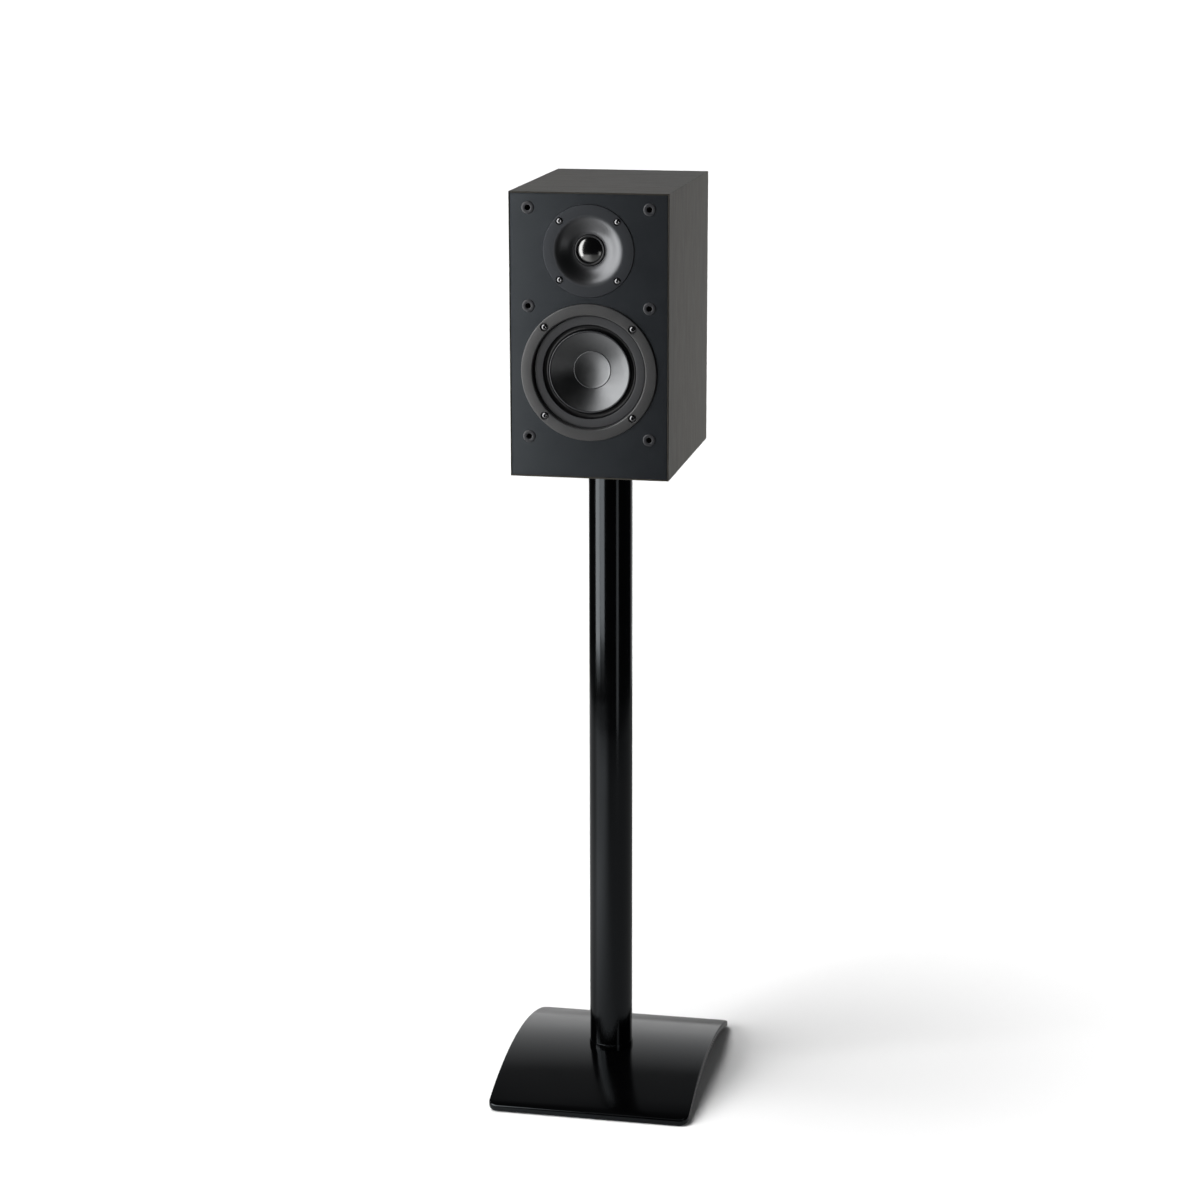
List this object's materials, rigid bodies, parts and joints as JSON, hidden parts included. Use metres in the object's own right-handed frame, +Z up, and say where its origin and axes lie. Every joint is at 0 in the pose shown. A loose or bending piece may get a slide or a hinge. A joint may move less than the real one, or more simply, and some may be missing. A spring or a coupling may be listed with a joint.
{
  "type": "bookshelf speaker",
  "caption": "Two-way bookshelf speaker with a reflex port, bolted to a floor stand with a round column and an arched base plate.",
  "frame": {"origin": "on the floor under the middle of the base plate", "axes": "+Z up the column; -Y out of the front baffle; +X to the right when facing the baffle"},
  "size_m": [0.22, 0.286, 0.992],
  "materials": {
    "cabinet_wrap": "satin",
    "baffle_paint": "satin",
    "raw_board": "matte",
    "lining_fibre": "matte",
    "black_plastic": "satin",
    "red_plastic": "gloss",
    "ivory_plastic": "matte",
    "brass": "satin",
    "gold_metal": "polished",
    "zinc_steel": "satin",
    "black_screw": "gloss",
    "circuit_board": "satin",
    "copper_wire": "satin",
    "capacitor_film": "gloss",
    "resistor_ceramic": "matte",
    "wire_cover": "satin",
    "driver_frame": "satin",
    "faceplate_paint": "satin",
    "foam": "matte",
    "surround_rubber": "satin",
    "cone_metal": "satin",
    "former": "matte",
    "spider_cloth": "matte",
    "ferrite": "matte",
    "dome_metal": "polished",
    "stand_paint": "gloss",
    "rubber": "matte"
  },
  "bodies": {
    "cabinet": {"top_panel": "cabinet_wrap", "bottom_panel": "cabinet_wrap", "left_side_panel": "cabinet_wrap", "right_side_panel": "cabinet_wrap", "rear_panel": "cabinet_wrap", "front_baffle": "baffle_paint", "window_brace": "raw_board", "damping_lining": "lining_fibre", "grille_sockets": "black_plastic", "port_tube": "black_plastic", "threaded_inserts": "brass", "terminal_cup": "black_plastic", "terminal_cup_screws": "black_screw", "positive_post": "gold_metal", "negative_post": "gold_metal", "terminal_nuts": "gold_metal", "solder_tags": "zinc_steel", "crossover_board": "circuit_board", "crossover_standoffs": "zinc_steel", "crossover_screws": "black_screw", "inductor_bobbins": "ivory_plastic", "inductor_windings": "copper_wire", "crossover_capacitors": "capacitor_film", "crossover_resistors": "resistor_ceramic", "internal_wiring": "wire_cover", "woofer_frame": "driver_frame", "woofer_gasket": "foam", "woofer_surround": "surround_rubber", "woofer_spider": "spider_cloth", "woofer_top_plate": "zinc_steel", "woofer_magnet": "ferrite", "woofer_yoke": "zinc_steel", "woofer_tinsel_leads": "copper_wire", "woofer_terminal_strip": "former", "woofer_screws": "black_screw", "tweeter_faceplate": "faceplate_paint", "tweeter_surround": "surround_rubber", "tweeter_top_plate": "zinc_steel", "tweeter_magnet": "ferrite", "tweeter_yoke": "zinc_steel", "tweeter_rear_chamber": "black_plastic", "tweeter_screws": "black_screw", "stand_top_plate": "stand_paint", "isolation_pads": "rubber", "speaker_bolts": "zinc_steel", "column": "stand_paint", "column_collar": "stand_paint", "base_plate": "stand_paint", "column_bolts": "zinc_steel", "base_feet": "rubber"},
    "woofer_moving_parts": {"woofer_cone": "cone_metal", "woofer_dust_cap": "cone_metal", "woofer_coil_former": "former", "woofer_voice_coil": "copper_wire"},
    "tweeter_moving_parts": {"tweeter_dome": "dome_metal", "tweeter_voice_coil": "copper_wire"},
    "positive_washer": {"positive_clamp_washer": "gold_metal"},
    "negative_washer": {"negative_clamp_washer": "gold_metal"},
    "positive_turning_knob": {"positive_knob": "red_plastic"},
    "negative_turning_knob": {"negative_knob": "black_plastic"}
  },
  "joints": [
    {"name": "woofer_cone_travel", "type": "slide", "parent": "cabinet", "child": "woofer_moving_parts", "axis": [0, 1, 0], "range_m": [-0.004, 0.004], "stiffness_N_per_m": 1000, "deforming": ["woofer_surround", "woofer_spider", "woofer_tinsel_leads"]},
    {"name": "tweeter_dome_travel", "type": "slide", "parent": "cabinet", "child": "tweeter_moving_parts", "axis": [0, 1, 0], "range_m": [-0.0004, 0.0004], "stiffness_N_per_m": 200, "deforming": ["tweeter_surround"]},
    {"name": "positive_clamp_travel", "type": "slide", "parent": "cabinet", "child": "positive_washer", "axis": [0, 1, 0], "range_m": [0, 0.004]},
    {"name": "positive_knob_turn", "type": "hinge", "parent": "positive_washer", "child": "positive_turning_knob", "pos_m": [-0.00953, 0.1065, 0.78], "axis": [0, 1, 0], "range_deg": [0, 1440]},
    {"name": "negative_clamp_travel", "type": "slide", "parent": "cabinet", "child": "negative_washer", "axis": [0, 1, 0], "range_m": [0, 0.004]},
    {"name": "negative_knob_turn", "type": "hinge", "parent": "negative_washer", "child": "negative_turning_knob", "pos_m": [0.00953, 0.1065, 0.78], "axis": [0, 1, 0], "range_deg": [0, 1440]}
  ],
  "couplings": [
    {"joint": "positive_knob_turn", "follows": "positive_clamp_travel", "rad_per_m": 6283},
    {"joint": "negative_knob_turn", "follows": "negative_clamp_travel", "rad_per_m": 6283}
  ]
}
